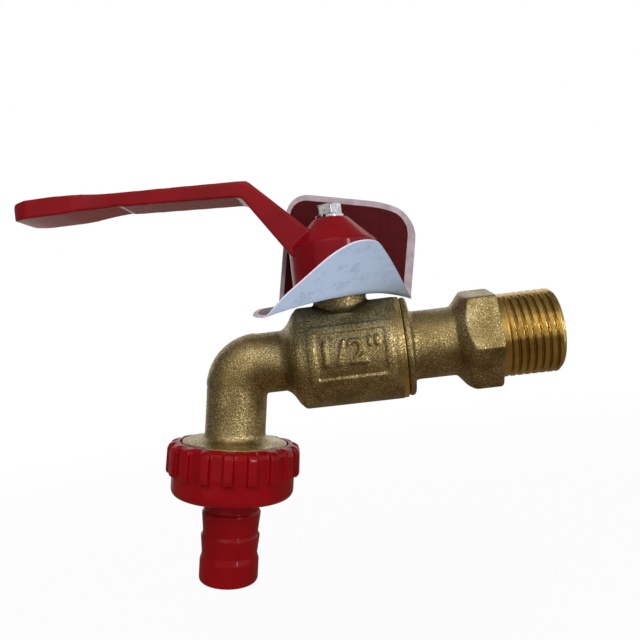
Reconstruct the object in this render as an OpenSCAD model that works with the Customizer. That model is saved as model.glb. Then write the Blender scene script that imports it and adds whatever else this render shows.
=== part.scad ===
// Lever ball-valve hose tap with a screwed hose union, in millimetres.
// Every piece is drawn about the valve centre, where the inlet axis (X) crosses
// the stem axis (Z), and then moved so that the origin lies on the inlet axis
// at the shoulder where the male inlet thread starts. The spout leaves towards -X.

/* [Ball chamber] */
// Outer radius of the ball chamber
chamber_r = 13; // [12.8:0.1:14]
// Length of the chamber from the valve centre towards the spout
chamber_back = 11.8; // [11.6:0.1:13]
// Length of the chamber from the valve centre to its open end
chamber_front = 14.7; // [14.5:0.1:17]
// Width of the turned land round the open end
land_w = 1.3; // [1:0.1:2]
// Radius of the waterway through the ball and the spout
way_r = 5; // [4.4:0.1:5.2]
// Radius of the ball
ball_r = 8.6; // [8.4:0.05:8.8]
// Gap between the ball and each seat
seat_gap = 0.15; // [0.1:0.05:0.2]
// Width of each seat ring along the inlet axis
seat_w = 4.4; // [4:0.1:4.8]
// Gap between the ball and the wall of its cavity
cavity_gap = 0.5; // [0.4:0.1:0.6]

/* [Side panel] */
// Length of the field inside the raised frame
panel_l = 17; // [14:0.5:18]
// Height of the field inside the raised frame
panel_h = 11.3; // [9:0.1:12]
// Width of the raised frame
panel_rim = 1.6; // [1:0.1:2]
// How far the raised frame stands proud of the chamber
panel_proud = 0.45; // [0.3:0.05:0.6]
// Distance of the panel's middle from the valve centre
panel_x = 1.6; // [0.8:0.1:2]

/* [Neck and gland] */
// Outer radius of the neck round the stem
neck_r = 6.9; // [6.7:0.1:7.3]
// Height of the neck's top above the valve centre
neck_top = 19; // [18.6:0.1:19.4]
// Radius of the packing box in the neck
packing_r = 5; // [4.8:0.1:5.2]
// Height of the packing box's floor above the valve centre
packing_floor = 13.6; // [13.4:0.1:14]
// Height of the packing ring
packing_h = 3; // [2.5:0.1:3.2]
// Width across flats of the gland nut
gland_af = 12.6; // [12:0.1:13]
// Height of the gland nut's hexagon
gland_h = 3; // [2.5:0.1:3.5]

/* [Stem] */
// Radius of the stem
stem_r = 3.5; // [3.3:0.1:3.7]
// Running clearance round the stem
stem_gap = 0.05; // [0.02:0.01:0.09]
// Radius of the collar that keeps the stem from blowing out
collar_r = 5.2; // [4.9:0.1:5.4]
// Thickness of the collar
collar_h = 1.2; // [1:0.1:1.4]
// Thickness of the thrust washer on the collar
thrust_h = 0.7; // [0.5:0.1:0.8]
// Thickness of the tongue that turns the ball
tang_t = 3.4; // [3:0.1:3.8]
// Distance across the two flats that carry the lever
stem_flats = 5; // [4.6:0.1:5.4]
// Gap between the stem's flats and the lever
flat_gap = 0.05; // [0.03:0.01:0.08]

/* [Lever] */
// Outer radius of the lever's hub
hub_r = 11.5; // [11.2:0.1:12]
// Height of the hub's lower edge above the valve centre
hub_bottom = 16.2; // [16:0.1:17]
// Height of the hub's shoulder above the valve centre
hub_shoulder = 28.6; // [27.5:0.1:29.5]
// Height of the flat on top of the hub above the valve centre
hub_top = 34.9; // [34:0.1:35.4]
// Radius of the flat on top of the hub
hub_flat_r = 4.6; // [4.3:0.1:5.5]
// Wall of the hollow hub
hub_wall = 1.8; // [1.6:0.1:2]
// Distance from the stem axis to the lever's tip
lever_reach = 82; // [76:0.5:95]
// Height of the lever's upper edge at its bend
lever_rise = 46.4; // [45:0.1:49]
// Angle by which the grip climbs towards its tip
lever_climb = 2.6; // [1:0.1:4]
// Angle of the arm between the hub and the bend
arm_angle = 45; // [42:0.5:48]
// Thickness of the arm at the bend
arm_t = 4; // [3.4:0.1:4.6]
// Thickness of the paddle at the tip
paddle_t = 4.7; // [4:0.1:5.5]
// Width of the arm
arm_w = 11.6; // [10:0.1:13]
// Width of the paddle
paddle_w = 14.8; // [13.4:0.1:17]
// Length of the paddle
paddle_l = 23; // [18:0.5:28]
// Angle through which the lever turns
lever_turn = 90; // [85:1:92]

/* [Handle screw] */
// Width across flats of the screw's head
screw_af = 6; // [5.5:0.1:7]
// Height of the screw's hexagon
screw_h = 2.7; // [2.2:0.1:3.2]
// Radius of the spring washer under the screw's head
washer_r = 3.8; // [3.6:0.1:4]
// Thickness of the spring washer
washer_t = 0.9; // [0.7:0.1:1.1]
// Radius of the screw's shank
shank_r = 2; // [1.8:0.1:2.1]
// Length of the screw's shank
shank_l = 11; // [9:0.5:12]

/* [Inlet tail] */
// Radius of the tube between the chamber and the hexagon
tube_r = 8.7; // [8.4:0.1:9.2]
// Distance from the valve centre to the shoulder of the inlet thread
shoulder_x = 37.8; // [36:0.1:44]
// Width of the hexagon along the inlet axis
hex_w = 6.6; // [6:0.1:8]
// Width across flats of the hexagon
hex_af = 23; // [22.6:0.1:24]
// Radius of the male inlet thread over its crests
inlet_r = 10.4775; // [10.4:0.0005:10.5]
// Length of the male inlet thread
inlet_l = 14.8; // [13:0.1:18]
// Chamfer at the end of the inlet thread
inlet_chamfer = 1.1; // [0.8:0.1:1.3]
// Radius of the bore through the inlet tail
inlet_bore_r = 6.6; // [6:0.1:7]
// Radius of the flange that butts on the chamber
flange_r = 12.6; // [12:0.1:12.8]
// Width of the flange that butts on the chamber
flange_w = 1.9; // [1.5:0.1:2.2]
// Radius of the thread that joins the inlet tail to the chamber
joint_r = 10.4; // [10.2:0.1:10.6]

/* [Spout] */
// Radius of the spout tube
spout_r = 7.8; // [7.6:0.1:8]
// Distance from the stem axis to where the spout axis meets the inlet axis
spout_x = 28.1; // [27.5:0.1:33]
// Angle by which the spout leans away from the stem axis
spout_lean = 9.4; // [6:0.1:12]
// Radius of the bend of the spout axis
bend_r = 8.2; // [8.1:0.1:9]
// Distance along the spout axis to the rim of the outlet flange
outlet_s = 19.6; // [19:0.1:25]
// Radius of the outlet flange
outlet_flange_r = 13.5; // [13.4:0.1:14]
// Radius of the male outlet thread over its crests
outlet_r = 13.05; // [12.9:0.01:13.2]
// Distance along the spout axis that the outlet thread stands below the flange's rim
outlet_l = 9.6; // [9:0.1:11]
// Radius of the opening in the outlet's end
outlet_bore_r = 7; // [6:0.1:8]

/* [Hose union] */
// Outer radius of the hose nut over its ribs
nut_r = 17; // [16.8:0.1:18]
// Radius of the hose nut's plain band
nut_band_r = 15.7; // [15.5:0.1:16]
// Radius between the ribs
nut_root_r = 16; // [15.9:0.1:16.2]
// Number of ribs round the hose nut
nut_ribs = 20; // [16:1:24]
// Width of each rib
nut_rib_w = 2.1; // [1.6:0.1:2.6]
// Height of the hose nut
nut_h = 14.5; // [14.2:0.1:16]
// Height of the ribbed part
nut_rib_h = 8.6; // [7:0.1:10]
// Thickness of the hose nut's floor
nut_floor = 1.8; // [1.6:0.1:2.2]
// Gap round the outlet thread inside the hose nut
nut_gap = 0.35; // [0.3:0.05:0.45]
// Gap between the hose nut's floor and the tail's flange
floor_gap = 0.3; // [0.25:0.05:0.4]
// Thickness of the rubber hose washer
seal_t = 2.1; // [1.9:0.1:2.2]
// Radius of the hose tail at its neck
tail_neck_r = 7.1; // [6.9:0.1:7.4]
// Radius of the hose tail over its barbs and its end land
tail_r = 7.55; // [7.45:0.05:7.8]
// Radius of the bore through the hose tail
tail_bore_r = 5.3; // [4.8:0.1:5.6]
// Length of the hose tail below the hose nut
tail_l = 22.4; // [20:0.1:30]
// Distance between the barbs
barb_pitch = 5.9; // [5.5:0.1:6.2]
// Length of the plain land at the hose tail's end
tail_land = 7.1; // [5:0.1:9]

/* [Swing tag] */
// Width of the card
tag_w = 36; // [32:0.5:36.5]
// Length of the card before it was folded
tag_l = 80; // [70:0.5:82]
// Radius of the card's corners
tag_corner = 6; // [4:0.5:8]
// Thickness of the card
tag_t = 0.35; // [0.3:0.05:0.4]
// Radius of the hole in the card
tag_hole_r = 8; // [7.8:0.1:8.4]
// Height of the card's hole above the valve centre
tag_z = 14.4; // [14.3:0.1:14.5]
// Angle by which the card has turned round the stem
tag_turn = 5; // [3:1:7]
// Angle by which the card dips towards its front edge
tag_dip = 3; // [2:0.5:3.5]
// Angle by which the card dips towards the spout
tag_lean = 2.5; // [1.5:0.5:3]
// Distance from the hole's middle to the fold of the back flap
tag_back = 11; // [10.8:0.1:12]
// Angle between the back flap's fold and the card's short edge
tag_back_skew = 14; // [10:1:15]
// Angle to which the back flap is folded up
tag_back_angle = 91; // [86:1:92]
// Radius of the back flap's fold
tag_back_r = 2.5; // [2:0.1:3]
// Distance along the card's long edge from the hole to the front flap's bend
tag_front = 10; // [8:0.5:12]
// Angle between the front flap's bend and the card's short edge
tag_front_skew = 57; // [52:1:60]
// Angle to which the front flap is bent up
tag_front_angle = 39; // [32:1:44]
// Radius of the front flap's bend
tag_front_r = 5; // [4:0.5:8]
// Distance from the hole's middle to where the card starts to sag over the inlet
tag_sag_x = 5; // [5:0.5:7]
// Sag over the inlet, for each millimetre squared of distance
tag_sag = 0.02; // [0.01:0.005:0.02]
// Distance from the hole's middle to where the card starts to sag in front
tag_droop_y = 10; // [9:0.5:12]
// Sag in front, for each millimetre squared of distance
tag_droop = 0.003; // [0:0.001:0.004]

/* [Hidden] */
fine = 96;
// Lap of two bodies that are joined in one piece
hair = 0.01;
brass = "#a98b52";
bright_brass = "#c9a24a";
red_paint = "#a3101c";
red_plastic = "#b0101c";
white_card = "#e9ecf2";
seat_white = "#f2f2ee";
rubber_black = "#26262a";
zinc = "#c8ccd0";

cavity_r = ball_r + cavity_gap;
seat_out = ball_r + 0.8;
seat_in = seat_out - seat_w;
seat_bore = way_r + 0.9;
slot_d = 2.6;
stem_hole_r = stem_r + stem_gap;
collar_top = packing_floor - 2;
collar_z = collar_top - thrust_h - collar_h;
packing_top = packing_floor + packing_h;
hub_inner = hub_r - hub_wall;
hub_roof = hub_shoulder - 1;
stem_top = hub_top - 0.4;
bend_x = spout_x - bend_r * tan((90 - spout_lean) / 2);
bend_sweep = 90 - spout_lean;
bend_step = 0.05;
bend_lap = 0.3;
bend_s = bend_r * tan(bend_sweep / 2);
outlet_end = outlet_s + outlet_l;
flange_low = outlet_s + 1.7;
nut_top = outlet_s - 0.1;
nut_base = nut_top + nut_h;
nut_inner = outlet_r + nut_gap;
floor_s = nut_base - nut_floor;
tail_flange_r = outlet_r - 0.6;
tail_flange_s = outlet_end + seal_t;
tail_flange_end = floor_s - floor_gap;
tail_end = nut_base + tail_l;
hex_corner_r = hex_af / 2 / cos(30);
lug_r = neck_r + 1.9;
lug_half = 8;
lug_gap = 1.2;
rib_in = neck_r + 1.2;
rib_span = 12;
rib_half = lug_half + lug_gap;

// Arc points: centre [cx, cy], radius r, from angle a to angle b
function arc(cx, cy, r, a, b, n = 8) =
    [for (i = [0:n]) let (t = a + (b - a) * i / n) [cx + r * cos(t), cy + r * sin(t)]];

// Turns a solid of revolution so that its axis runs along the inlet
module along_inlet() {
    rotate([0, 90, 0]) children();
}

// Turns a solid of revolution so that its axis runs down the spout
module along_spout() {
    translate([-spout_x, 0, 0]) rotate([0, 180 + spout_lean, 0]) children();
}

// Moves a piece from the valve centre's frame to the part's own frame
module placed() {
    translate([-shoulder_x, 0, 0]) children();
}

// A ring or disc between two heights
module ring(outer, inner, low, high) {
    difference() {
        translate([0, 0, low]) cylinder(r = outer, h = high - low, $fn = fine);
        translate([0, 0, low - 1]) cylinder(r = inner, h = high - low + 2, $fn = fine);
    }
}

// Outline of the forged chamber, as [radius, distance along the inlet]
function chamber_outline() = concat(
    [[0, -chamber_back - 4.2], [spout_r, -chamber_back - 4.2], [spout_r + 0.6, -chamber_back - 3.2]],
    [[spout_r + 1.7, -chamber_back - 2.2], [chamber_r - 1.5, -chamber_back - 1]],
    arc(chamber_r - 1.2, -chamber_back + 0.9, 1.2, -40, 0, 4),
    [[chamber_r, chamber_front - land_w], [chamber_r - 0.15, chamber_front - land_w]],
    [[chamber_r - 0.15, chamber_front], [0, chamber_front]]);

// Outline of the neck with its flared foot, as [radius, height]
function neck_outline() = concat(
    [[0, 4], [neck_r + 2.4, 4], [neck_r + 2.4, 9.4]],
    arc(neck_r + 2.6, 12.6, 2.6, 262, 180, 6),
    [[neck_r, neck_top - 0.5], [neck_r - 0.5, neck_top], [0, neck_top]]);

// Outline of the spout below its bend, as [radius, distance along the spout]
function spout_outline() = concat(
    [[0, bend_s - bend_lap], [spout_r, bend_s - bend_lap]],
    arc(spout_r + 1.8, outlet_s - 2.6, 1.8, 180, 98, 6),
    [[outlet_flange_r - 0.3, outlet_s - 0.3], [outlet_flange_r, outlet_s]],
    [[outlet_flange_r, flange_low], [outlet_r, flange_low]],
    [[outlet_r, outlet_end - 0.8], [outlet_r - 0.8, outlet_end], [0, outlet_end]]);

// A quarter-bend of the given tube radius, from the chamber's axis to the spout's axis
module bend(r) {
    translate([-bend_x, 0, -bend_r]) rotate([90, -90, 0])
        rotate_extrude(angle = bend_sweep, $fn = fine) translate([bend_r, 0]) circle(r = r, $fn = fine);
}

// Raised rectangular frame on the flank of the chamber
module panel_frame() {
    outer = [panel_l + 2 * panel_rim, panel_h + 2 * panel_rim];
    intersection() {
        translate([panel_x, 0, 0]) rotate([90, 0, 0])
            linear_extrude(chamber_r + panel_proud) difference() {
                square(outer, center = true);
                square([panel_l, panel_h], center = true);
            }
        along_inlet() translate([0, 0, panel_x - outer[0] / 2 - 1])
            cylinder(r = chamber_r + panel_proud, h = outer[0] + 2, $fn = fine);
    }
}

// Sector of a ring, from angle a to angle b
module sector(inner, outer, a, b, low, high) {
    translate([0, 0, low]) rotate([0, 0, a]) rotate_extrude(angle = b - a, $fn = fine)
        translate([inner, 0]) square([outer - inner, high - low]);
}

module valve_body() {
    color(brass) placed() difference() {
        union() {
            along_inlet() rotate_extrude($fn = fine) polygon(chamber_outline());
            along_inlet() translate([0, 0, -bend_x - bend_lap]) cylinder(r = spout_r, h = bend_x, $fn = fine);
            bend(spout_r + bend_step);
            along_spout() rotate_extrude($fn = fine) polygon(spout_outline());
            rotate_extrude($fn = fine) polygon(neck_outline());
            panel_frame();
            rotate([0, 0, 180]) panel_frame();
            sector(neck_r - 0.5, lug_r, 90 - lug_half, 90 + lug_half, hub_bottom + 0.4, neck_top - 0.8);
        }
        // Ball cavity, with the seat pocket and the thread of the inlet tail
        along_inlet() translate([0, 0, -seat_out]) cylinder(r = cavity_r, h = seat_out * 2, $fn = fine);
        along_inlet() translate([0, 0, seat_out]) cylinder(r = joint_r, h = chamber_front, $fn = fine);
        // Waterway to the outlet
        along_inlet() translate([0, 0, -bend_x - bend_lap]) cylinder(r = way_r, h = bend_x, $fn = fine);
        bend(way_r + bend_step);
        along_spout() translate([0, 0, bend_s - bend_lap]) cylinder(r = way_r, h = outlet_end, $fn = fine);
        along_spout() translate([0, 0, outlet_s]) cylinder(r = outlet_bore_r, h = outlet_l + 1, $fn = fine);
        // Stem passage, collar pocket and packing box
        cylinder(r = stem_hole_r, h = neck_top + 1, $fn = fine);
        cylinder(r = collar_r + 0.2, h = collar_top, $fn = fine);
        translate([0, 0, packing_floor]) cylinder(r = packing_r, h = neck_top, $fn = fine);
    }
}

// Outline of the inlet tail, as [radius, distance along the inlet]
function inlet_outline() = concat(
    [[inlet_bore_r, seat_out + 0.1], [joint_r - 0.05, seat_out + 0.1], [joint_r - 0.05, chamber_front]],
    [[flange_r - 0.4, chamber_front]],
    arc(flange_r - 1.1, chamber_front + flange_w - 1.1, 1.1, 0, 70, 5),
    arc(tube_r + 1.5, chamber_front + flange_w + 1.3, 1.5, 250, 180, 5),
    arc(tube_r + 1.2, shoulder_x - hex_w - 4.4, 1.2, 180, 135, 3),
    arc(hex_corner_r - 1.6, shoulder_x - hex_w + 0.6, 1.6, 315, 360, 4),
    [[hex_corner_r, shoulder_x - 0.5], [hex_corner_r - 0.5, shoulder_x], [inlet_r, shoulder_x]],
    [[inlet_r, shoulder_x + inlet_l - inlet_chamfer]],
    [[inlet_r - inlet_chamfer, shoulder_x + inlet_l], [inlet_bore_r, shoulder_x + inlet_l]]);

module inlet_tail() {
    color(brass) placed() intersection() {
        along_inlet() rotate_extrude($fn = fine) polygon(inlet_outline());
        union() {
            along_inlet() rotate([0, 0, 101]) translate([0, 0, chamber_front + flange_w + 2])
                cylinder(r = hex_corner_r, h = shoulder_x, $fn = 6);
            along_inlet() cylinder(r = flange_r, h = chamber_front + flange_w + 3, $fn = fine);
        }
    }
}

// Seat ring, drawn for the inlet side: its face follows the ball
module seat() {
    difference() {
        along_inlet() ring(cavity_r - 0.05, seat_bore, seat_in, seat_out);
        sphere(r = ball_r + seat_gap, $fn = fine);
    }
}

module inlet_seat() {
    color(seat_white) placed() seat();
}

module outlet_seat() {
    color(seat_white) placed() mirror([1, 0, 0]) seat();
}

module ball() {
    color(zinc) placed() difference() {
        sphere(r = ball_r, $fn = fine);
        along_inlet() translate([0, 0, -ball_r - 1]) cylinder(r = way_r, h = 2 * ball_r + 2, $fn = fine);
        translate([-ball_r, -tang_t / 2 - 0.15, ball_r - slot_d])
            cube([2 * ball_r, tang_t + 0.3, slot_d + 1]);
    }
}

module stem() {
    tang_z = ball_r - slot_d + 0.3;
    color(bright_brass) placed() difference() {
        union() {
            intersection() {
                translate([0, 0, tang_z])
                    cylinder(r = collar_r - 0.4, h = collar_z - tang_z + hair, $fn = fine);
                translate([-collar_r, -tang_t / 2, tang_z]) cube([2 * collar_r, tang_t, collar_z]);
            }
            translate([0, 0, collar_z]) cylinder(r = collar_r, h = collar_h, $fn = fine);
            translate([0, 0, collar_z]) cylinder(r = stem_r, h = stem_top - collar_z, $fn = fine);
        }
        for (side = [0, 180]) rotate([0, 0, side])
            translate([-stem_r - 1, stem_flats / 2, hub_roof - 0.4])
                cube([2 * stem_r + 2, stem_r, stem_top]);
        translate([0, 0, stem_top - shank_l]) cylinder(r = shank_r, h = shank_l + 1, $fn = fine);
    }
}

module thrust_washer() {
    color(seat_white) placed() ring(collar_r, stem_r + stem_gap, collar_z + collar_h, collar_top);
}

module packing_ring() {
    color(seat_white) placed() ring(packing_r - 0.05, stem_r + stem_gap, packing_floor, packing_top);
}

module gland_nut() {
    color(bright_brass) placed() difference() {
        union() {
            translate([0, 0, packing_top])
                cylinder(r = packing_r - 0.05, h = neck_top - packing_top, $fn = fine);
            translate([0, 0, neck_top]) cylinder(r = gland_af / 2 / cos(30), h = gland_h, $fn = 6);
        }
        translate([0, 0, packing_top - 1]) cylinder(r = stem_r + stem_gap, h = neck_top, $fn = fine);
    }
}

// Side view of the arm and grip, as [distance towards the tip, height]
function lever_side() =
    let (
        bend_d = hub_flat_r + (lever_rise - hub_top) / tan(arm_angle) + 3.6,
        tip = lever_reach,
        top = function (d) lever_rise + (d - bend_d) * tan(lever_climb),
        foot = [hub_r - 1, hub_bottom + 9.6]
    )
    concat(
        [[0, hub_shoulder - 0.6], [0, hub_shoulder + 2.4]],
        [[bend_d - 14.4, lever_rise - 14.4 * tan(arm_angle)]],
        [[bend_d - 1, lever_rise - 0.9], [bend_d, lever_rise - 0.1], [bend_d + 1.2, top(bend_d + 1.2)]],
        [[tip - 12, top(tip - 12)], [tip - 5, top(tip - 5) - 0.35], [tip - 1.2, top(tip) - 1]],
        [[tip, top(tip) - 2.2], [tip, top(tip) - paddle_t + 0.6], [tip - 1, top(tip) - paddle_t - 0.5]],
        [[tip - 14, top(tip - 14) - paddle_t], [tip - paddle_l, top(tip - paddle_l) - arm_t + 0.1]],
        [[tip - 31, top(tip - 31) - arm_t + 0.7]],
        [[(tip + bend_d) / 2 + 2, top((tip + bend_d) / 2) - arm_t + 0.4]],
        [[bend_d + 3, top(bend_d + 3) - arm_t], [bend_d + 1.6, top(bend_d) - arm_t - 0.5]],
        [foot, [0, foot[1]]]);

// Plan view of the arm and grip, as [distance towards the tip, half width]
function lever_plan() =
    let (start = lever_reach - paddle_l, half = paddle_w / 2, corner = 5.4)
    concat(
        [[0, arm_w / 2 + 0.6], [hub_r + 6, arm_w / 2 + 0.2], [start - 3, arm_w / 2 - 0.2]],
        [[start - 1, arm_w / 2], [start + 2.4, half - 0.6], [start + 6, half]],
        arc(lever_reach - corner, half - corner, corner, 90, 0, 6));

// Plan outline of one half, closed along the middle
function mirrored(side) = concat(side, [for (i = [len(side) - 1:-1:0]) [side[i][0], -side[i][1]]]);

module lever_arm() {
    rotate([0, 0, 180]) intersection() {
        rotate([90, 0, 0]) translate([0, 0, -paddle_w])
            linear_extrude(2 * paddle_w) polygon(lever_side());
        translate([0, 0, hub_bottom]) linear_extrude(lever_rise) polygon(mirrored(lever_plan()));
    }
}

module lever() {
    hub = concat(
        [[0, hub_bottom], [hub_r + 0.1, hub_bottom]],
        arc(hub_r - 0.8, hub_shoulder - 0.8, 0.8, 0, 45, 3),
        [[hub_flat_r + 0.3, hub_top - 0.2], [hub_flat_r, hub_top], [0, hub_top]]);
    hollow = [[0, hub_bottom - 1], [hub_inner, hub_bottom - 1], [hub_inner, hub_shoulder - hub_wall - 1],
        [hub_inner - 1.2, hub_roof], [0, hub_roof]];
    color(red_paint) placed() difference() {
        union() {
            difference() {
                union() {
                    rotate_extrude($fn = fine) polygon(hub);
                    lever_arm();
                }
                rotate_extrude($fn = fine) polygon(hollow);
            }
            // Stop ribs inside the hub, one for each end of the lever's turn
            sector(rib_in, hub_inner + 0.5, 90 - rib_half - rib_span, 90 - rib_half,
                hub_bottom, hub_roof - 4);
            sector(rib_in, hub_inner + 0.5, 90 + rib_half + lever_turn,
                90 + rib_half + lever_turn + rib_span, hub_bottom, hub_roof - 4);
        }
        intersection() {
            cylinder(r = stem_r + flat_gap, h = hub_top + 1, $fn = fine);
            translate([-hub_r, -stem_flats / 2 - flat_gap, 0])
                cube([2 * hub_r, stem_flats + 2 * flat_gap, hub_top + 1]);
        }
    }
}

module spring_washer() {
    color(zinc) placed() ring(washer_r, shank_r + 0.2, hub_top, hub_top + washer_t);
}

module handle_screw() {
    seat_z = hub_top + washer_t;
    shank_low = stem_top - shank_l + 1;
    head_r = screw_af / 2 / cos(30);
    color(zinc) placed() union() {
        intersection() {
            translate([0, 0, seat_z]) rotate([0, 0, 42]) cylinder(r = head_r, h = screw_h, $fn = 6);
            translate([0, 0, seat_z])
                cylinder(r1 = head_r + screw_h, r2 = head_r - 0.35, h = screw_h, $fn = fine);
        }
        translate([0, 0, shank_low])
            cylinder(r = shank_r - flat_gap, h = seat_z - shank_low + hair, $fn = fine);
    }
}

// Envelope of the ribs, as [radius, distance along the spout]
function rib_envelope() = [
    [nut_inner, nut_top], [outlet_flange_r + 0.9, nut_top], [nut_r - 1.2, nut_top + 0.7],
    [nut_r, nut_top + 2], [nut_r + 0.15, nut_top + nut_rib_h - 0.6],
    [nut_r - 0.4, nut_top + nut_rib_h], [nut_inner, nut_top + nut_rib_h]];

// Outline of the hose nut between its ribs, as [radius, distance along the spout]
function nut_outline() = concat(
    [[0, nut_top], [outlet_flange_r + 0.9, nut_top], [nut_root_r - 0.3, nut_top + 0.9]],
    [[nut_root_r, nut_top + 2], [nut_root_r, nut_top + nut_rib_h - 1], [nut_band_r, nut_top + nut_rib_h]],
    arc(nut_band_r - 2, nut_base - 2, 2, 0, 75, 5),
    [[0, nut_base]]);

module hose_nut() {
    color(red_plastic) placed() along_spout() difference() {
        union() {
            rotate_extrude($fn = fine) polygon(nut_outline());
            intersection() {
                rotate_extrude($fn = fine) polygon(rib_envelope());
                for (i = [0:nut_ribs - 1])
                    rotate([0, 0, 90 + i * 360 / nut_ribs])
                        translate([nut_inner, -nut_rib_w / 2, nut_top])
                            cube([nut_r, nut_rib_w, nut_rib_h]);
            }
        }
        translate([0, 0, nut_top - 1])
            cylinder(r = outlet_flange_r + nut_gap, h = flange_low - nut_top + 1.2, $fn = fine);
        translate([0, 0, nut_top]) cylinder(r = nut_inner, h = floor_s - nut_top, $fn = fine);
        translate([0, 0, nut_top]) cylinder(r = tail_neck_r + 0.4, h = nut_h + 1, $fn = fine);
    }
}

// Outline of the hose tail, as [radius, distance along the spout]
function tail_outline() = concat(
    [[tail_bore_r, tail_flange_s], [tail_flange_r, tail_flange_s], [tail_flange_r, tail_flange_end]],
    [[tail_neck_r, tail_flange_end]],
    [for (i = [0:1]) each barb(nut_base + 3.4 + i * barb_pitch)],
    [[tail_neck_r, tail_end - tail_land - 1.4], [tail_r, tail_end - tail_land]],
    arc(tail_r - 1.1, tail_end - 1.1, 1.1, 0, 90, 5),
    [[tail_bore_r, tail_end]]);

// One barb, sharp towards the nut and tapered towards the tail's end
function barb(s) = [[tail_neck_r, s - 0.7], [tail_r, s], [tail_neck_r, s + barb_pitch - 1.5]];

module hose_tail() {
    color(red_plastic) placed() along_spout() rotate_extrude($fn = fine) polygon(tail_outline());
}

module hose_washer() {
    color(rubber_black) placed() along_spout()
        ring(outlet_r - 0.9, outlet_bore_r, outlet_end, tail_flange_s);
}

// Point on the flat card's edge in direction a, where the corners are rounded
function tag_edge(a) =
    let (
        hx = tag_w / 2, hy = tag_l / 2, cx = hx - tag_corner, cy = hy - tag_corner,
        dx = cos(a), dy = sin(a),
        t = min(hx / max(abs(dx), hair), hy / max(abs(dy), hair)),
        px = abs(t * dx), py = abs(t * dy),
        k = cx * abs(dx) + cy * abs(dy),
        q = k + sqrt(max(0, k * k - cx * cx - cy * cy + tag_corner * tag_corner)),
        r = px > cx && py > cy ? q : t
    ) [r * dx, r * dy];

// Point p = [x, y, height] of a card that is bent up beyond the line through q at angle a
function bent(p, q, a, radius, turn) =
    let (
        n = [-sin(a), cos(a)],
        d = ([p[0], p[1]] - q) * n,
        arc_l = radius * turn * PI / 180,
        t = min(max(d, 0), arc_l) / radius * 180 / PI,
        past = max(d - arc_l, 0),
        run = (radius - p[2]) * sin(t) + past * cos(t) - d,
        rise = radius - (radius - p[2]) * cos(t) + past * sin(t)
    ) d <= 0 ? p : [p[0] + run * n[0], p[1] + run * n[1], rise];

// Place of the card's point [x, y] once it is folded, h above its underside
function tag_point(p, h) =
    let (
        back = bent([p[0], p[1], h], [0, tag_back], tag_back_skew, tag_back_r, tag_back_angle),
        both = bent([p[0], p[1], h], [tag_w / 2, tag_front], tag_front_skew + 180,
            tag_front_r, tag_front_angle),
        q = back[2] > h ? back : both,
        sag = tag_sag * pow(max(p[0] - tag_sag_x, 0), 2),
        droop = tag_droop * pow(max(-p[1] - tag_droop_y, 0), 2)
    ) [q[0], q[1], q[2] - sag - droop];

module tag() {
    around = 72;
    steps = 15;
    skin = function (h) [for (i = [0:around - 1]) let (a = i * 360 / around + 0.001,
        hole = [tag_hole_r * cos(a), tag_hole_r * sin(a)], edge = tag_edge(a))
        for (j = [0:steps]) tag_point(hole + (edge - hole) * j / steps, h)];
    row = steps + 1;
    count = around * row;
    at = function (i, j) (i % around) * row + j;
    faces = concat(
        [for (i = [0:around - 1], j = [0:steps - 1]) each [
            [at(i, j), at(i + 1, j + 1), at(i, j + 1)], [at(i, j), at(i + 1, j), at(i + 1, j + 1)],
            [count + at(i, j), count + at(i, j + 1), count + at(i + 1, j + 1)],
            [count + at(i, j), count + at(i + 1, j + 1), count + at(i + 1, j)]]],
        [for (i = [0:around - 1], j = [0, steps]) each
            let (a = at(i, j), b = at(i + 1, j), up = j == 0)
            up ? [[a, count + a, b], [count + a, count + b, b]]
               : [[a, b, count + a], [count + a, b, count + b]]]);
    color(white_card) placed() translate([0, 0, tag_z]) rotate([tag_dip, 0, 0])
        rotate([0, -tag_lean, 0]) rotate([0, 0, -tag_turn])
            polyhedron(concat(skin(0), skin(tag_t)), faces);
}

valve_body();
inlet_tail();
inlet_seat();
outlet_seat();
ball();
stem();
thrust_washer();
packing_ring();
gland_nut();
lever();
spring_washer();
handle_screw();
hose_nut();
hose_tail();
hose_washer();
tag();
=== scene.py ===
# %% [markdown]
# # Dressing a lever hose tap
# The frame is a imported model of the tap: every piece in metres, in the place where it works.
# This script gives each piece the finish of the real one, adds the rounding, threads and
# relief that a forging, a moulding and a folded card have, and sets up a small photo studio.
# The origin lies on the inlet axis, at the shoulder where the inlet thread starts.

import math
import bmesh
import bpy
from mathutils import Matrix, Vector


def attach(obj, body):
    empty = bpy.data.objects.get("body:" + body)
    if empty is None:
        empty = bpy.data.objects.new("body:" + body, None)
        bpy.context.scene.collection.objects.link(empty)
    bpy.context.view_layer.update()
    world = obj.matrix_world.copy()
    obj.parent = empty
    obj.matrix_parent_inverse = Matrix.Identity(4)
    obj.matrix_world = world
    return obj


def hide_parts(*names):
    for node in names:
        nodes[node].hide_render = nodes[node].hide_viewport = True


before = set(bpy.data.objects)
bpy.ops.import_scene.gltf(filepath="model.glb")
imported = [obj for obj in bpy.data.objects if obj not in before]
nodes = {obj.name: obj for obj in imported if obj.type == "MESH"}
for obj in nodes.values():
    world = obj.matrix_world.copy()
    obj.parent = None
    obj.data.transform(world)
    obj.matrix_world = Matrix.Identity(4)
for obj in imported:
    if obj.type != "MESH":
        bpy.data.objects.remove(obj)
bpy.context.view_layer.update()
MM = 0.001
print("nodes:", sorted(nodes))

# %% [markdown]
# ## The camera
# The camera stands in front of the tap at the height of its body, 161 mm away, and is rolled a
# little, so the inlet seems to climb to the right. Place and lens come from a fit to points on
# the outline, with the half-inch inlet thread as the one known length. That fit met several
# near-equal answers, so the distance is the least certain of these values.

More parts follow.
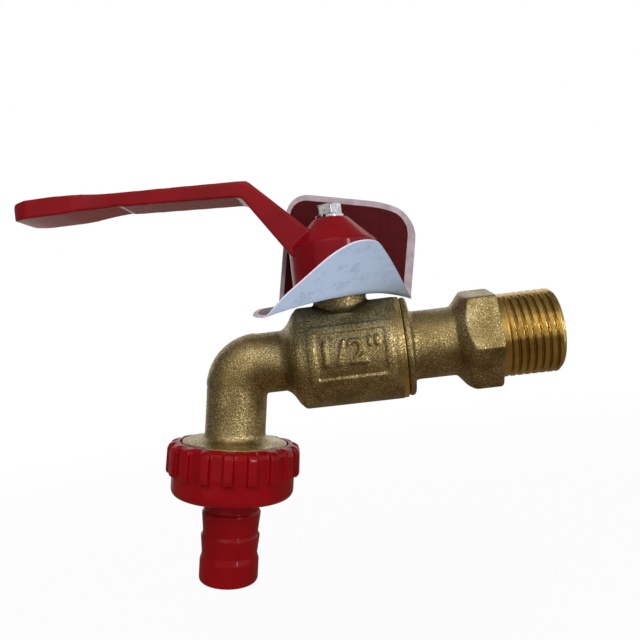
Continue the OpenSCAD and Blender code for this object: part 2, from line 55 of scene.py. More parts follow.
# %% Camera
VALVE_X = -37.8 * MM
CAMERA_PLACE = Vector((VALVE_X + 5.1 * MM, -161.4 * MM, 3.6 * MM))
CAMERA_YAW, CAMERA_PITCH, CAMERA_ROLL = -3.8, 2.02, 6.79
CAMERA_FOCAL_PX, FRAME_PX, SENSOR_MM = 627.1, 640, 36.0


def make_camera():
    yaw, pitch, roll = (math.radians(a) for a in (CAMERA_YAW, CAMERA_PITCH, CAMERA_ROLL))
    ahead = Vector((
        math.sin(yaw) * math.cos(pitch),
        math.cos(yaw) * math.cos(pitch),
        math.sin(pitch),
    ))
    right = Vector((math.cos(yaw), -math.sin(yaw), 0.0))
    up = right.cross(ahead)
    right_rolled = right * math.cos(roll) - up * math.sin(roll)
    up_rolled = right * math.sin(roll) + up * math.cos(roll)
    data = bpy.data.cameras.new("studio_camera")
    data.sensor_width = SENSOR_MM
    data.lens = CAMERA_FOCAL_PX / FRAME_PX * SENSOR_MM
    data.clip_start = 0.01
    camera = bpy.data.objects.new("studio_camera", data)
    turn = Matrix((right_rolled, up_rolled, -ahead)).transposed()
    camera.matrix_world = Matrix.Translation(CAMERA_PLACE) @ turn.to_4x4()
    bpy.context.scene.collection.objects.link(camera)
    bpy.context.scene.camera = camera
    return camera


camera = make_camera()
print("lens in mm:", round(camera.data.lens, 2))

# %% [markdown]
# ## A bench of small helpers
# Most pieces go the same way: a mesh is made or copied, a modifier finishes it, and the result
# is turned into a plain mesh whose place is in its vertices. These helpers do those steps, and
# `add` builds nodes in shader and geometry trees alike.

# %% Helpers for meshes and node trees
WELD = 0.001 * MM


def make_object(name, mesh):
    piece = bpy.data.objects.new(name, mesh)
    bpy.context.scene.collection.objects.link(piece)
    return piece


def evaluated_mesh(piece):
    graph = bpy.context.evaluated_depsgraph_get()
    return bpy.data.meshes.new_from_object(piece.evaluated_get(graph))


def bake(piece):
    mesh = evaluated_mesh(piece)
    piece.modifiers.clear()
    piece.data = mesh
    mesh.name = piece.name
    return piece


def from_bmesh(name, work, outward=True):
    if outward:
        bmesh.ops.recalc_face_normals(work, faces=work.faces)
    mesh = bpy.data.meshes.new(name)
    work.to_mesh(mesh)
    work.free()
    return make_object(name, mesh)


def merge_pieces(name, parts):
    work = bmesh.new()
    for part in parts:
        work.from_mesh(part.data)
        bpy.data.objects.remove(part)
    return from_bmesh(name, work, outward=False)


def cad_copy(node_name, name):
    work = bmesh.new()
    work.from_mesh(nodes[node_name].data)
    bmesh.ops.remove_doubles(work, verts=work.verts, dist=WELD)
    return from_bmesh(name, work, outward=False)


def loft(name, work, rings):
    for ring, after in zip(rings, rings[1:]):
        for j in range(len(ring)):
            k = (j + 1) % len(ring)
            work.faces.new((ring[j], ring[k], after[k], after[j]))
    work.faces.new(rings[0])
    work.faces.new(list(reversed(rings[-1])))
    return from_bmesh(name, work)


def smooth_faces(piece, sharp_from):
    piece.data.shade_smooth()
    piece.data.set_sharp_from_angle(angle=math.radians(sharp_from))


def soften_edges(piece, width, segments, corner):
    bevel = piece.modifiers.new("edges", "BEVEL")
    bevel.width, bevel.segments, bevel.angle_limit = width, segments, math.radians(corner)
    bake(piece)


def round_off(piece, voxel, passes):
    remesh = piece.modifiers.new("grain", "REMESH")
    remesh.mode, remesh.voxel_size = "VOXEL", voxel
    smooth = piece.modifiers.new("worn", "SMOOTH")
    smooth.factor, smooth.iterations = 0.5, passes
    bake(piece)
    piece.data.shade_smooth()
    return piece


def finish_piece(piece, material, body, slot, *replaced):
    piece.data.materials.clear()
    piece.data.materials.append(material)
    settle_piece(piece, body, slot, *replaced)


def settle_piece(piece, body, slot, *replaced):
    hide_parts(*replaced)
    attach(piece, body)
    faces = sum(len(face.vertices) - 2 for face in piece.data.polygons)
    print(piece.name, "triangles:", faces)


def add(tree, kind, inputs=None, **settings):
    made = tree.nodes.new(kind)
    for key, value in settings.items():
        setattr(made, key, value)
    for key, value in (inputs or {}).items():
        if isinstance(value, bpy.types.NodeSocket):
            tree.links.new(value, made.inputs[key])
        else:
            made.inputs[key].default_value = value
    return made


def maths(tree, operation, first, second=0.0):
    made = add(tree, "ShaderNodeMath", {0: first, 1: second}, operation=operation)
    return made.outputs[0]


def length_of(tree, vector):
    return add(tree, "ShaderNodeVectorMath", {0: vector}, operation="LENGTH").outputs["Value"]


# %% [markdown]
# ## Finishes
# The forged parts were tumbled and blasted, so their brass is dull and olive with a fine grain
# that glitters where light strikes. The threads and lands were turned afterwards and are bright
# yellow. The lever is die cast and powder coated, the hose union is moulded plastic, the screw
# is zinc plated, and the swing tag is printed card. Each finish is a small node tree on Object
# coordinates, in metres, so the grain's noise scale of 2700 gives specks of about 0.4 mm.

# %% Helpers for finishes
def new_finish(name, **sockets):
    material = bpy.data.materials.new(name)
    material.use_nodes = True
    tree = material.node_tree
    shader = tree.nodes["Principled BSDF"]
    for key, value in sockets.items():
        shader.inputs[key.replace("_", " ")].default_value = value
    place = add(tree, "ShaderNodeTexCoord").outputs["Object"]
    return material, tree, shader, place


def noise(tree, place, scale, detail=2.0, roughness=0.5):
    inputs = {"Vector": place, "Scale": scale, "Detail": detail, "Roughness": roughness}
    return add(tree, "ShaderNodeTexNoise", inputs).outputs["Fac"]


def ramp(tree, value, *stops):
    made = add(tree, "ShaderNodeValToRGB", {"Fac": value})
    elements = made.color_ramp.elements
    while len(elements) < len(stops):
        elements.new(0.5)
    for element, (spot, colour) in zip(elements, stops):
        element.position = spot
        element.color = (*colour, 1.0)
    return made.outputs["Color"]


def spread(tree, value, low, high, to_low, to_high):
    inputs = {"Value": value, "From Min": low, "From Max": high}
    inputs.update({"To Min": to_low, "To Max": to_high})
    return add(tree, "ShaderNodeMapRange", inputs).outputs["Result"]


def lessen(tree, value, amount, share):
    kept = maths(tree, "SUBTRACT", 1.0, maths(tree, "MULTIPLY", amount, share))
    return maths(tree, "MULTIPLY", value, kept)


def mix_colour(tree, share, first, second):
    made = add(tree, "ShaderNodeMix", {0: share, 6: first, 7: second}, data_type="RGBA")
    return made.outputs[2]


def bump(tree, shader, height, depth, strength=1.0, under=None):
    inputs = {"Height": height, "Distance": depth, "Strength": strength}
    made = add(tree, "ShaderNodeBump", inputs)
    if under is not None:
        tree.links.new(under, made.inputs["Normal"])
    tree.links.new(made.outputs["Normal"], shader.inputs["Normal"])
    return made.outputs["Normal"]


# %% Blasted brass
GRAIN_SCALE, PIT_SCALE, CLOUD_SCALE = 2700.0, 1300.0, 160.0
GRAIN_DEPTH, PIT_DEPTH, GRAIN_SHARE = 0.14 * MM, 0.05 * MM, 0.7
BRASS_DARK, BRASS_MID, BRASS_LIGHT = (0.18, 0.122, 0.040), (0.32, 0.24, 0.105), (0.74, 0.61, 0.34)
# Of the two colours below, the second is painted shade for the thread's grooves, not a brass of its
# own.
TURNED_GOLD, THREAD_ROOT_PAINTED_SHADE = (0.66, 0.44, 0.13), (0.42, 0.29, 0.10)
TOOL_PITCH, TOOL_DEPTH = 0.14 * MM, 0.004 * MM
# Heights between which the turned land's painted highlight fades in: its gold shows in full only
# near its top and bottom.
LAND_PAINTED_HIGHLIGHT_SPAN = (6.0 * MM, 9.0 * MM)


def blasted_brass(name, land=None):
    material, tree, shader, place = new_finish(name, Metallic=1.0)
    grain = noise(tree, place, GRAIN_SCALE, 2.0, 0.6)
    pits = noise(tree, place, PIT_SCALE, 2.0)
    cloud = noise(tree, place, CLOUD_SCALE, 3.0)
    from_grain = maths(tree, "MULTIPLY", grain, GRAIN_SHARE)
    from_cloud = maths(tree, "MULTIPLY", cloud, 1.0 - GRAIN_SHARE)
    shade = maths(tree, "ADD", from_grain, from_cloud)
    colour = ramp(tree, shade, (0.39, BRASS_DARK), (0.52, BRASS_MID), (0.64, BRASS_LIGHT))
    rough = spread(tree, grain, 0.35, 0.65, 0.52, 0.26)
    if land is not None:
        axes = add(tree, "ShaderNodeSeparateXYZ", {"Vector": place}).outputs
        edges = [spread(tree, axes["X"], e, e + 0.1 * MM, 0.0, 1.0) for e in land]
        turned = maths(tree, "SUBTRACT", edges[0], edges[1])
        height = maths(tree, "ABSOLUTE", axes["Z"])
        # Painted highlight: at mid height the land keeps a quarter of its gold, and near the top
        # and bottom all of it, where it catches the light.
        turned = maths(tree, "MULTIPLY", turned, spread(tree, height, *LAND_PAINTED_HIGHLIGHT_SPAN, 0.25, 1.0))
        colour = mix_colour(tree, turned, colour, (*TURNED_GOLD, 1.0))
        rough = lessen(tree, rough, turned, 0.6)
        grain = lessen(tree, grain, turned, 0.85)
    tree.links.new(colour, shader.inputs["Base Color"])
    tree.links.new(rough, shader.inputs["Roughness"])
    low = bump(tree, shader, pits, PIT_DEPTH, 0.7)
    bump(tree, shader, grain, GRAIN_DEPTH, 1.0, low)
    return material


def turned_brass(name, rough, colour=TURNED_GOLD, cut=None):
    material, tree, shader, place = new_finish(name, Metallic=1.0)
    cloud = noise(tree, place, CLOUD_SCALE, 3.0)
    tint = ramp(tree, cloud, (0.35, tuple(c * 0.72 for c in colour)), (0.65, colour))
    # Painted shade: below the crests the thread turns darker towards its roots, for the shade that
    # falls in the grooves.
    if cut is not None:
        across = {0: place, 1: (0.0, 1.0, 1.0)}
        flat = add(tree, "ShaderNodeVectorMath", across, operation="MULTIPLY").outputs[0]
        crest = spread(tree, length_of(tree, flat), *cut, 0.0, 1.0)
        tint = mix_colour(tree, crest, (*THREAD_ROOT_PAINTED_SHADE, 1.0), tint)
    tree.links.new(tint, shader.inputs["Base Color"])
    tree.links.new(spread(tree, cloud, 0.3, 0.7, rough, rough + 0.12), shader.inputs["Roughness"])
    along = add(tree, "ShaderNodeSeparateXYZ", {"Vector": place}).outputs["X"]
    lines = maths(tree, "SINE", maths(tree, "MULTIPLY", along, 2 * math.pi / TOOL_PITCH))
    bump(tree, shader, lines, TOOL_DEPTH, 0.5)
    return material


# %% Red coat, red plastic, plate and card
PAINT_RED, PAINT_SHADE = (0.18, 0.0012, 0.005), (0.145, 0.0008, 0.0035)
PLASTIC_RED, PLASTIC_SHADE = (0.19, 0.0003, 0.0025), (0.155, 0.0002, 0.0018)
COAT_ROUGH, PEEL_DEPTH = 0.24, 0.02 * MM


def red_coat(name, light, dark, gloss, peel_scale):
    material, tree, shader, place = new_finish(
        name, Coat_Weight=gloss, Coat_Roughness=0.06, Specular_IOR_Level=0.06
    )
    cloud = noise(tree, place, 120.0, 3.0)
    fine = noise(tree, place, 2600.0, 2.0)
    tree.links.new(ramp(tree, cloud, (0.35, dark), (0.65, light)), shader.inputs["Base Color"])
    rough = spread(tree, fine, 0.3, 0.7, COAT_ROUGH, COAT_ROUGH + 0.14)
    tree.links.new(rough, shader.inputs["Roughness"])
    peel = noise(tree, place, peel_scale, 1.5)
    under = bump(tree, shader, peel, PEEL_DEPTH, 0.6)
    bump(tree, shader, fine, 0.006 * MM, 0.35, under)
    return material


def zinc_plate(name):
    material, tree, shader, place = new_finish(name, Metallic=1.0)
    cloud = noise(tree, place, 900.0, 3.0)
    tint = ramp(tree, cloud, (0.35, (0.40, 0.42, 0.45)), (0.65, (0.72, 0.74, 0.78)))
    tree.links.new(tint, shader.inputs["Base Color"])
    tree.links.new(spread(tree, cloud, 0.3, 0.7, 0.1, 0.24), shader.inputs["Roughness"])
    bump(tree, shader, noise(tree, place, 2400.0), 0.01 * MM, 0.4)
    return material


def plain_moulding(name, light, dark, rough):
    material, tree, shader, place = new_finish(name)
    cloud = noise(tree, place, 300.0, 3.0)
    tree.links.new(ramp(tree, cloud, (0.35, dark), (0.65, light)), shader.inputs["Base Color"])
    tree.links.new(spread(tree, cloud, 0.3, 0.7, rough, rough + 0.15), shader.inputs["Roughness"])
    bump(tree, shader, noise(tree, place, 3000.0), 0.01 * MM, 0.3)
    return material


LAND = (VALVE_X + 13.4 * MM, VALVE_X + 14.72 * MM)
# Radii over which the thread's painted groove shade gives way to the bright crests.
THREAD_SHADE_RADII = (9.8 * MM, 10.3 * MM)
body_brass = blasted_brass("blasted brass with a turned land", LAND)
tail_brass = blasted_brass("blasted brass")
thread_brass = turned_brass("turned brass", rough=0.13, cut=THREAD_SHADE_RADII)
lever_red = red_coat("red powder coat", PAINT_RED, PAINT_SHADE, gloss=0.28, peel_scale=700.0)
union_red = red_coat(
    "red moulded plastic", PLASTIC_RED, PLASTIC_SHADE, gloss=0.18, peel_scale=420.0
)
plate = zinc_plate("zinc plate")
seat_white = plain_moulding("seat plastic", (0.84, 0.83, 0.79), (0.72, 0.71, 0.68), 0.4)
rubber = plain_moulding("black rubber", (0.035, 0.035, 0.037), (0.018, 0.018, 0.02), 0.6)
print("finishes:", len(bpy.data.materials))

# %% [markdown]
# ## Valve body
# The body is one forging: a round chamber, the neck of the stem, the bend and the spout. Its
# edges are soft all over, because the die leaves a radius everywhere and the blasting wears
# the rest. Bevels on a mesh with holes through it break easily, so the frame's solid is copied,
# turned into an even skin by a voxel remesh, and then smoothed a few passes. The thick heel of
# the bend and the size figures on the flank are small solids that the remesh melts into it.

# %% Heel of the bend
HEEL_X, HEEL_Z, HEEL_R, TUBE_R, HEEL_WALL = -23.0, -6.0, 6.2, 7.8, 1.9
SPOUT_LEAN = 9.4
HEEL_SPREAD, HEEL_STEPS = 82.0, 24


def make_heel():
    work = bmesh.new()
    rings = []
    for i in range(HEEL_STEPS + 1):
        turn = math.radians(90.0 + (90.0 - SPOUT_LEAN) * i / HEEL_STEPS)
        ring = []
        for radius, way in ((TUBE_R, 1), (TUBE_R - HEEL_WALL, -1)):
            for j in range(HEEL_STEPS + 1):
                side = math.radians(way * HEEL_SPREAD * (2 * j / HEEL_STEPS - 1))
                reach = HEEL_R + radius * math.cos(side)
                x = HEEL_X + reach * math.cos(turn)
                z = HEEL_Z + reach * math.sin(turn)
                spot = Vector((x, radius * math.sin(side), z)) * MM
                ring.append(work.verts.new(spot + Vector((VALVE_X, 0, 0))))
        rings.append(ring)
    return loft("heel", work, rings)


# %% Size figures on the flank
CHAMBER_R = 13.0
FIGURES_BOX = (-5.0, 8.4, -2.6, 3.8)
FIGURES_PROUD, FIGURES_ROOT = 0.5, 0.8
FIGURES_T, FIGURES_VOXEL = 0.6, 0.22


def make_figures():
    curve = bpy.data.curves.new("figures", "FONT")
    curve.body = '1/2"'
    curve.extrude = FIGURES_T
    lettering = make_object("figures", curve)
    mesh = evaluated_mesh(lettering)
    bpy.data.objects.remove(lettering)
    piece = make_object("figures", mesh)
    xs = [v.co.x for v in mesh.vertices]
    ys = [v.co.y for v in mesh.vertices]
    left, right, low, high = FIGURES_BOX
    for v in mesh.vertices:
        x = left + (v.co.x - min(xs)) / (max(xs) - min(xs)) * (right - left)
        z = low + (v.co.y - min(ys)) / (max(ys) - min(ys)) * (high - low)
        v.co = Vector((x, -v.co.z / FIGURES_T, z))
    round_off(piece, voxel=FIGURES_VOXEL, passes=1)
    for v in piece.data.vertices:
        depth = -v.co.y
        out = math.sqrt(CHAMBER_R**2 - v.co.z**2) + (FIGURES_PROUD if depth > 0 else -FIGURES_ROOT)
        v.co = Vector((v.co.x, -out, v.co.z)) * MM + Vector((VALVE_X, 0, 0))
    return piece


# %% Valve body
body_parts = [cad_copy("valve_body", "body"), make_heel(), make_figures()]
body = merge_pieces("valve_body_dressed", body_parts)
round_off(body, voxel=0.31 * MM, passes=2)
finish_piece(body, body_brass, "valve", "forged_brass", "valve_body")

# %% [markdown]
# ## Inlet tail
# The tail is a second forging, screwed into the chamber: a flange, a tube and a rough hexagon.
# Only its half-inch pipe thread is cut, and it is the brightest metal on the tap. The forged
# part is rounded like the body. The thread follows one rule, a radius that depends on how far
# round and how far along a point lies, so Geometry Nodes bend a plain grid into it. Pitch and
# flanks of 27.5 degrees are the standard's. The depth isn't: the standard has 1.16 mm, and the
# grooves here are 0.7 mm deep between crests that are flat for half the pitch, because the
# thread's lower edge hardly ripples in the picture, though blur may hide some of it. A plain
# land runs up to the hexagon.

# %% Thread tree
THREAD_L, THREAD_PITCH, THREAD_CREST, THREAD_ROOT = 14.8, 1.814, 10.4775, 9.78
THREAD_BORE, THREAD_CHAMFER, THREAD_LAND, THREAD_RUNOUT = 6.6, 0.9, 1.6, 0.9
ROOT_FLAT, CREST_FLAT, THREAD_STEPS, THREAD_SIDES = 0.1, 0.5, 190, 140
WHOLE_TURNS, SEAM_WELD = 40.0, 0.002 * MM


def new_tree(name, inputs):
    tree = bpy.data.node_groups.new(name, "GeometryNodeTree")
    tree.interface.new_socket("Geometry", in_out="INPUT", socket_type="NodeSocketGeometry")
    for label, kind, value in inputs:
        tree.interface.new_socket(label, in_out="INPUT", socket_type=kind).default_value = value
    tree.interface.new_socket("Geometry", in_out="OUTPUT", socket_type="NodeSocketGeometry")
    return tree, tree.nodes.new("NodeGroupInput").outputs


def end_tree(tree, geometry, material):
    whole = add(tree, "GeometryNodeRealizeInstances", {"Geometry": geometry}).outputs["Geometry"]
    coated = add(tree, "GeometryNodeSetMaterial", {"Geometry": whole, "Material": material})
    add(tree, "NodeGroupOutput", {"Geometry": coated.outputs["Geometry"]})


def run_tree(piece, tree, **values):
    modifier = piece.modifiers.new(tree.name, "NODES")
    modifier.node_group = tree
    for item in tree.interface.items_tree:
        if item.in_out == "INPUT" and item.name in values:
            modifier[item.identifier] = values[item.name]
    return bake(piece)


def thread_tree(material):
    lengths = (("Length", THREAD_L), ("Pitch", THREAD_PITCH), ("Crest", THREAD_CREST))
    lengths += (("Root", THREAD_ROOT), ("Chamfer", THREAD_CHAMFER), ("Land", THREAD_LAND))
    tree, given = new_tree("pipe thread", [(n, "NodeSocketFloat", v * MM) for n, v in lengths])
    sizes = {"Size X": 1.0, "Size Y": 1.0, "Vertices X": THREAD_STEPS, "Vertices Y": THREAD_SIDES}
    grid = add(tree, "GeometryNodeMeshGrid", sizes).outputs["Mesh"]
    grid_place = tree.nodes.new("GeometryNodeInputPosition").outputs[0]
    spot = add(tree, "ShaderNodeSeparateXYZ", {0: grid_place})
    along = maths(tree, "MULTIPLY", maths(tree, "ADD", spot.outputs["X"], 0.5), given["Length"])
    round_ = maths(tree, "ADD", spot.outputs["Y"], 0.5)
    angle = maths(tree, "MULTIPLY", round_, 2 * math.pi)
    turns = maths(tree, "SUBTRACT", maths(tree, "DIVIDE", along, given["Pitch"]), round_)
    phase = maths(tree, "FRACT", maths(tree, "ADD", turns, WHOLE_TURNS))
    saw = maths(tree, "ABSOLUTE", maths(tree, "SUBTRACT", maths(tree, "MULTIPLY", phase, 2.0), 1.0))
    flank = spread(tree, saw, ROOT_FLAT, 1.0 - CREST_FLAT, 0.0, 1.0)
    land_end = maths(tree, "ADD", given["Land"], THREAD_RUNOUT * MM)
    plain = maths(tree, "SUBTRACT", 1.0, spread(tree, along, given["Land"], land_end, 0.0, 1.0))
    height = maths(tree, "MAXIMUM", flank, plain)
    deep = maths(tree, "SUBTRACT", given["Crest"], given["Root"])
    radius = maths(tree, "ADD", given["Root"], maths(tree, "MULTIPLY", height, deep))
    chamfer_start = maths(tree, "SUBTRACT", given["Length"], given["Chamfer"])
    past = maths(tree, "SUBTRACT", along, chamfer_start)
    limit = maths(tree, "SUBTRACT", given["Crest"], maths(tree, "MAXIMUM", past, 0.0))
    radius = maths(tree, "MINIMUM", radius, limit)
    side = maths(tree, "MULTIPLY", radius, maths(tree, "COSINE", angle))
    up = maths(tree, "MULTIPLY", radius, maths(tree, "SINE", angle))
    place = add(tree, "ShaderNodeCombineXYZ", {"X": along, "Y": side, "Z": up}).outputs[0]
    bent = add(tree, "GeometryNodeSetPosition", {"Geometry": grid, "Position": place}).outputs[0]
    seam = {"Geometry": bent, "Distance": SEAM_WELD}
    joined = add(tree, "GeometryNodeMergeByDistance", seam).outputs[0]
    end_tree(tree, joined, material)
    return tree


def make_thread():
    empty = make_object("thread", bpy.data.meshes.new("thread"))
    piece = run_tree(empty, thread_tree(thread_brass))
    work = bmesh.new()
    work.from_mesh(piece.data)
    rims = [e for e in work.edges if e.is_boundary]
    made = bmesh.ops.extrude_edge_only(work, edges=rims)["geom"]
    inner = [g for g in made if isinstance(g, bmesh.types.BMVert)]
    for v in inner:
        away = math.hypot(v.co.y, v.co.z)
        v.co.y, v.co.z = v.co.y * THREAD_BORE * MM / away, v.co.z * THREAD_BORE * MM / away
    bores = [e for e in work.edges if e.is_boundary]
    bmesh.ops.bridge_loops(work, edges=bores)
    bpy.data.objects.remove(piece)
    thread = from_bmesh("thread", work)
    smooth_faces(thread, 50)
    return thread


# %% Inlet tail
def make_forged_tail():
    piece = cad_copy("inlet_tail", "forged_tail")
    work = bmesh.new()
    work.from_mesh(piece.data)
    whole = list(work.verts) + list(work.edges) + list(work.faces)
    shoulder = {"plane_co": (0, 0, 0), "plane_no": (1, 0, 0), "clear_outer": True}
    cut = bmesh.ops.bisect_plane(work, geom=whole, **shoulder)
    rims = [g for g in cut["geom_cut"] if isinstance(g, bmesh.types.BMEdge)]
    bmesh.ops.bridge_loops(work, edges=rims)
    work.to_mesh(piece.data)
    work.free()
    return round_off(piece, voxel=0.34 * MM, passes=5)


forged_tail, thread = make_forged_tail(), make_thread()
forged_faces = len(forged_tail.data.polygons)
tail = merge_pieces("inlet_tail_dressed", [forged_tail, thread])
tail.data.materials.clear()
for material in (tail_brass, thread_brass):
    tail.data.materials.append(material)
for face in tail.data.polygons:
    face.material_index = 0 if face.index < forged_faces else 1
settle_piece(tail, "valve", "turned_brass", "inlet_tail")

# %% [markdown]
# ## Lever
# The lever is one casting with a hollow hub, and a grip that widens to a paddle.
# Powder coat flows before it sets, so every edge ends up softly rounded, which a fine remesh
# and a few smoothing passes give in one go.

# %% Lever
lever = round_off(cad_copy("lever", "lever_dressed"), voxel=0.3 * MM, passes=5)
finish_piece(lever, lever_red, "lever", "red_paint", "lever")

# %% [markdown]
# ## Hose nut
# The nut is moulded with eighteen grip ribs that end at a plain band. The frame's nut has twenty
# and is 0.9 mm longer: eighteen ribs and the shorter nut lie nearer to the picture. One rib is
# drawn from its side view, and Geometry Nodes set it round the ring. The ribs and the turned
# shell then melt into one moulding, with the small fillets that a mould has.

# %% Lathe and spout helpers
SPOUT_X = 28.1
SPOUT = Matrix.Translation((VALVE_X - SPOUT_X * MM, 0, 0)) @ Matrix.Rotation(
    math.radians(180.0 + SPOUT_LEAN), 4, "Y"
)


def arc(middle, radius, first, last, count=6):
    angles = [math.radians(first + (last - first) * i / count) for i in range(count + 1)]
    return [(middle[0] + radius * math.cos(a), middle[1] + radius * math.sin(a)) for a in angles]


def lathe(name, profile, steps=144):
    work = bmesh.new()
    rings = []
    for i in range(steps):
        turn = 2 * math.pi * i / steps
        spots = [(r * math.cos(turn), r * math.sin(turn), s) for r, s in profile]
        rings.append([work.verts.new(Vector(spot) * MM) for spot in spots])
    for i in range(steps):
        ring, after = rings[i], rings[(i + 1) % steps]
        for j in range(len(profile)):
            k = (j + 1) % len(profile)
            work.faces.new((ring[j], after[j], after[k], ring[k]))
    return from_bmesh(name, work)


# %% Hose nut
NUT_TOP, NUT_BASE, NUT_RIBS, NUT_TURN = 19.5, 33.1, 18, 103.0
NUT_R, NUT_ROOT, NUT_BAND, NUT_INNER, NUT_RIM = 17.0, 16.0, 15.7, 13.4, 13.85
RIB_END, RIB_HALF, RIB_FOOT, RIB_DRAFT = 27.5, 1.25, 14.4, 0.02
LIP, FLOOR_S, FLOOR_HOLE = 21.5, 32.05, 7.5


def make_rib():
    side = [(RIB_FOOT, NUT_TOP + 0.1), (NUT_R - 1.6, NUT_TOP + 0.1), (NUT_R - 0.5, NUT_TOP + 0.6)]
    side += [(NUT_R, NUT_TOP + 1.8), (NUT_R + 0.12, RIB_END - 1.2)]
    side += arc((NUT_R - 0.8, RIB_END - 0.9), 0.9, 0, 80, 5) + [(RIB_FOOT, RIB_END)]
    work = bmesh.new()
    ends = []
    for half in (-RIB_HALF, RIB_HALF):
        spots = [(r, half * (1 - RIB_DRAFT * (r - RIB_FOOT)), s) for r, s in side]
        ends.append([work.verts.new(Vector(spot) * MM) for spot in spots])
    return loft("rib", work, ends)


def ring_tree(material):
    tree, given = new_tree("ribs in a ring", [("Ribs", "NodeSocketInt", NUT_RIBS)])
    count = {"Count": given["Ribs"], "Offset": (0, 0, 0)}
    spots = add(tree, "GeometryNodeMeshLine", count).outputs["Mesh"]
    index = tree.nodes.new("GeometryNodeInputIndex").outputs[0]
    step = maths(tree, "DIVIDE", 2 * math.pi, given["Ribs"])
    turn = add(tree, "ShaderNodeCombineXYZ", {"Z": maths(tree, "MULTIPLY", index, step)}).outputs[0]
    inputs = {"Points": spots, "Instance": given["Geometry"], "Rotation": turn}
    ribs = add(tree, "GeometryNodeInstanceOnPoints", inputs).outputs["Instances"]
    end_tree(tree, ribs, material)
    return tree


nut_profile = [(NUT_RIM, NUT_TOP), (RIB_FOOT, NUT_TOP)]
nut_profile += [(NUT_BAND, NUT_TOP + 0.7), (NUT_ROOT, NUT_TOP + 1.8)]
nut_profile += [(NUT_ROOT, RIB_END - 0.8), (NUT_BAND, RIB_END), (NUT_BAND, NUT_BASE - 2.0)]
nut_profile += arc((NUT_BAND - 2.0, NUT_BASE - 2.0), 2.0, 10, 90, 7)
nut_profile += [(FLOOR_HOLE, NUT_BASE), (FLOOR_HOLE, FLOOR_S)]
nut_profile += [(NUT_INNER, FLOOR_S), (NUT_INNER, LIP), (NUT_RIM, LIP)]
ribs = run_tree(make_rib(), ring_tree(union_red), Ribs=NUT_RIBS)
nut = merge_pieces("hose_nut_dressed", [lathe("nut_shell", nut_profile), ribs])
round_off(nut, voxel=0.26 * MM, passes=3)
nut.data.transform(SPOUT @ Matrix.Rotation(math.radians(NUT_TURN), 4, "Z"))
finish_piece(nut, union_red, "hose_nut", "red_plastic", "hose_nut")

# %% [markdown]
# ## Hose tail
# The tail is a turned shape: a flange inside the nut, two barbs and a plain end land, which is
# 1.4 mm shorter than the frame's, as the picture has it. A lathe of its outline and a narrow
# bevel give it the crisp but not sharp edges of a good moulding.

# %% Hose tail
TAIL_BORE, TAIL_NECK, TAIL_R, TAIL_FLANGE = 5.3, 7.1, 7.55, 12.45
TAIL_FLANGE_S, TAIL_FLANGE_END, TAIL_NECK_S, TAIL_END = 31.3, 31.9, 34.6, 55.0
BARBS, BARB_L, LAND_L = (37.4, 43.3), 4.4, 5.7
tail_profile = [(TAIL_BORE, TAIL_FLANGE_S), (TAIL_FLANGE, TAIL_FLANGE_S)]
tail_profile += [(TAIL_FLANGE, TAIL_FLANGE_END), (TAIL_NECK + 0.15, TAIL_FLANGE_END)]
tail_profile += [(TAIL_NECK, TAIL_NECK_S)]
for barb in BARBS:
    tail_profile += [(TAIL_NECK, barb - 0.7), (TAIL_R, barb)]
    tail_profile += [(TAIL_R - 0.06, barb + 0.5), (TAIL_NECK, barb + BARB_L)]
tail_profile += [(TAIL_NECK, TAIL_END - LAND_L - 1.4), (TAIL_R, TAIL_END - LAND_L)]
tail_profile += arc((TAIL_R - 1.1, TAIL_END - 1.1), 1.1, 0, 90, 6) + [(TAIL_BORE, TAIL_END)]
hose_tail = lathe("hose_tail_dressed", tail_profile)
soften_edges(hose_tail, width=0.12 * MM, segments=2, corner=14)
hose_tail.data.transform(SPOUT)
smooth_faces(hose_tail, 40)
finish_piece(hose_tail, union_red, "hose_tail", "red_plastic", "hose_tail")

# %% [markdown]
# ## Handle screw and spring washer
# A zinc-plated hexagon screw holds the lever down over a split spring washer. The head is small
# in the picture but bright, so its chamfered crown and its rounded corners are real geometry.

# %% Handle screw
screw = round_off(cad_copy("handle_screw", "handle_screw_dressed"), voxel=0.1 * MM, passes=3)
finish_piece(screw, plate, "lever", "plated_steel", "handle_screw")

# %% Spring washer
WASHER_LOW, WASHER_T, WASHER_IN, WASHER_OUT = 34.9, 0.9, 2.2, 3.8
WASHER_GAP, WASHER_SPLIT, WASHER_SET, WASHER_STEPS = 14.0, 250.0, 0.12, 90


def make_washer():
    work = bmesh.new()
    rings = []
    for i in range(WASHER_STEPS + 1):
        share = i / WASHER_STEPS
        turn = math.radians(WASHER_SPLIT + WASHER_GAP / 2 + (360.0 - WASHER_GAP) * share)
        low = WASHER_LOW + WASHER_SET * share
        high = low + WASHER_T - WASHER_SET
        square = ((WASHER_IN, low), (WASHER_OUT, low), (WASHER_OUT, high), (WASHER_IN, high))
        spots = [(VALVE_X / MM + r * math.cos(turn), r * math.sin(turn), z) for r, z in square]
        rings.append([work.verts.new(Vector(spot) * MM) for spot in spots])
    washer = loft("spring_washer_dressed", work, rings)
    soften_edges(washer, width=0.12 * MM, segments=3, corner=40)
    smooth_faces(washer, 40)
    return washer


washer = make_washer()
finish_piece(washer, plate, "lever", "plated_steel", "spring_washer")

# %% [markdown]
# ## Swing tag
# The tag is one sheet of printed card, 36 by 80 mm, with a hole that goes over the neck. Its
# back half is folded up behind the lever and its front half is bent up along a slanting line,
# so its white underside faces the viewer. A flat grid from the hole to the outline is bent by
# the same rule as the frame's card, which keeps lengths true as real card does. Its front left
# corner is cut narrower and rounder than the frame's, to bring the tip nearer to the picture's.
# The print follows the card, so the material reads an attribute, the distance to its outline.

